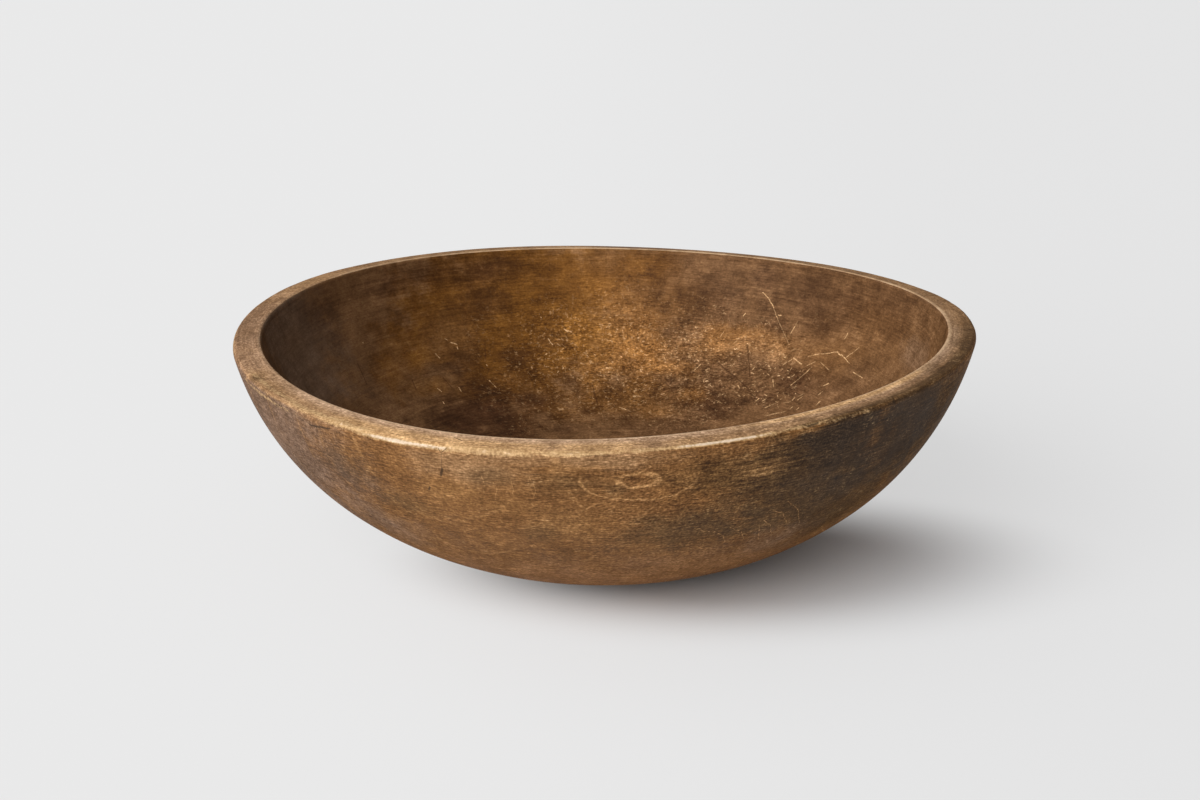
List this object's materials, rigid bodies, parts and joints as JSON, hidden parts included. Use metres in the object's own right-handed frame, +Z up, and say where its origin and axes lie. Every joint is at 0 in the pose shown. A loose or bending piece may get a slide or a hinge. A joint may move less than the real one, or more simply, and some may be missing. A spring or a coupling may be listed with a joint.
{
  "type": "dough bowl",
  "caption": "Wide turned wooden dough bowl in one piece, with a thick flat rim that dips and rises, a deep rounded hollow and a small flat foot.",
  "frame": {"origin": "on the table, at the middle of the flat foot under the middle of the bowl", "axes": "+Z up out of the hollow, +X towards the side where the rim stands highest over the table, to the viewer's right in the reference view, +Y away from that viewer"},
  "size_m": [0.3802, 0.377, 0.1205],
  "materials": {
    "wood": "aged, hand-worn oil patina with a low sheen"
  },
  "bodies": {
    "root": {"bowl": "wood"}
  },
  "joints": []
}
